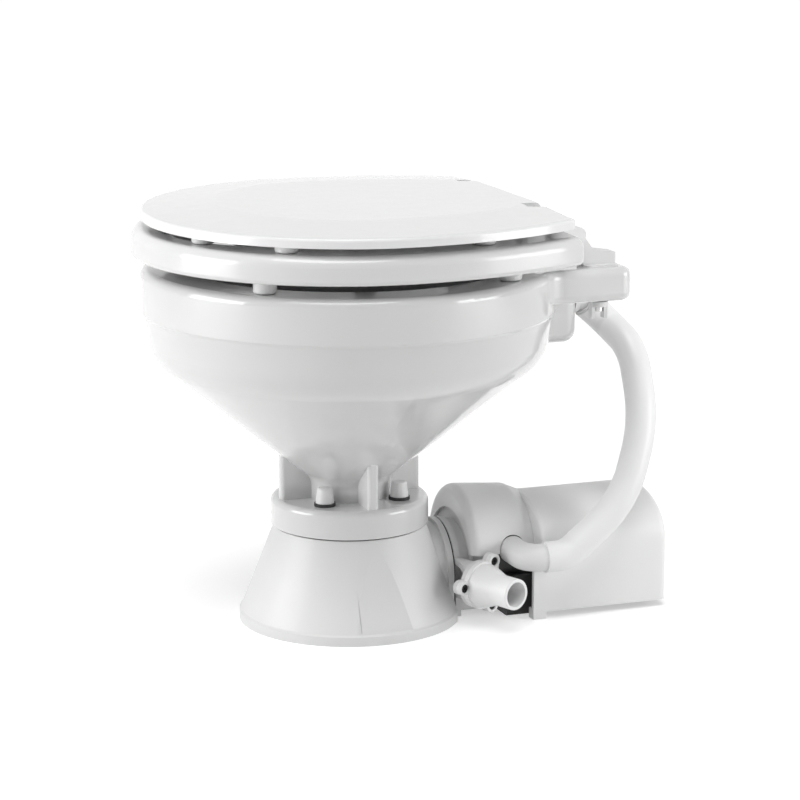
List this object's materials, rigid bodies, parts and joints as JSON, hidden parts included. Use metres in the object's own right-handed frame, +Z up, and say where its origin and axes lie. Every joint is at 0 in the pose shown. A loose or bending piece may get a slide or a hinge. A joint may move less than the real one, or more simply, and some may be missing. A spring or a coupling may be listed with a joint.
{
  "type": "marine toilet",
  "caption": "Compact electric marine toilet: ceramic bowl with hinged seat and lid on a plastic pedestal, with a macerator pump, covered motor and flushing hose behind.",
  "frame": {"origin": "centre of the pedestal's round foot, on the floor", "axes": "+Z up, -Y to the front of the bowl, +Y to the pump and motor, +X to the side of the hose and discharge port"},
  "size_m": [0.356, 0.4525, 0.361],
  "materials": {
    "white_plastic": "moulded white plastic, satin gloss",
    "cover_plastic": "moulded bright white plastic, satin gloss",
    "bowl_ceramic": "white vitreous glaze",
    "seat_enamel": "moulded wood under white baked enamel, glossy",
    "white_buffer": "soft white plastic",
    "white_hose": "soft white hose, smooth",
    "black_rubber": "matte",
    "black_plastic": "glass-filled, matte",
    "stainless_steel": "bright",
    "dark_steel": "blackened steel",
    "brass": "turned",
    "motor_paint": "black paint",
    "armature_iron": "varnished laminations",
    "magnet_ferrite": "dull ferrite",
    "brush_carbon": "carbon"
  },
  "bodies": {
    "toilet": {"base_pedestal": "white_plastic", "waste_sump": "white_plastic", "floor_bolt_inserts": "brass", "bowl_gasket": "black_rubber", "bowl": "bowl_ceramic", "bowl_bolts": "stainless_steel", "bowl_bolt_nuts": "stainless_steel", "bowl_bolt_washers": "black_rubber", "bowl_bolt_caps": "white_plastic", "hinge_blocks": "white_plastic", "hinge_pins": "stainless_steel", "hinge_bolts": "stainless_steel", "hinge_washers": "black_rubber", "hinge_nuts": "white_plastic", "bowl_inlet_elbow": "white_plastic", "flush_hose": "white_hose", "outlet_gasket": "black_rubber", "macerator_housing": "white_plastic", "cutter_plate": "stainless_steel", "discharge_port": "cover_plastic", "discharge_port_screws": "dark_steel", "joker_valve": "black_rubber", "seal_plate": "black_plastic", "shaft_seal": "black_rubber", "wear_plate": "stainless_steel", "flush_pump_housing": "black_plastic", "pump_outlet_elbow": "white_plastic", "supply_spigot": "white_plastic", "pump_tie_screws": "stainless_steel", "motor_can": "motor_paint", "motor_end_cap": "motor_paint", "motor_bearings": "stainless_steel", "motor_magnets": "magnet_ferrite", "motor_brushes": "brush_carbon", "motor_brush_ring": "black_plastic", "motor_bracket": "stainless_steel", "motor_pads": "black_rubber", "motor_cover": "cover_plastic", "cover_screws": "stainless_steel", "cable_grommet": "black_rubber"},
    "seat": {"seat_ring": "seat_enamel", "seat_buffers": "white_buffer"},
    "lid": {"lid": "seat_enamel", "lid_buffers": "white_buffer"},
    "rotor": {"motor_shaft": "stainless_steel", "motor_armature": "armature_iron", "cutter_blade": "stainless_steel", "discharge_impeller": "black_plastic", "intake_impeller": "black_rubber"}
  },
  "joints": [
    {"name": "seat_hinge", "type": "hinge", "parent": "toilet", "child": "seat", "pos_m": [0, 0.1685, 0.3358], "axis": [-1, 0, 0], "range_deg": [0, 91]},
    {"name": "lid_hinge", "type": "hinge", "parent": "seat", "child": "lid", "pos_m": [0, 0.1685, 0.3358], "axis": [-1, 0, 0], "range_deg": [0, 91]},
    {"name": "pump_shaft", "type": "hinge", "parent": "toilet", "child": "rotor", "pos_m": [0, 0.15, 0.05], "axis": [0, 1, 0], "continuous": true}
  ]
}
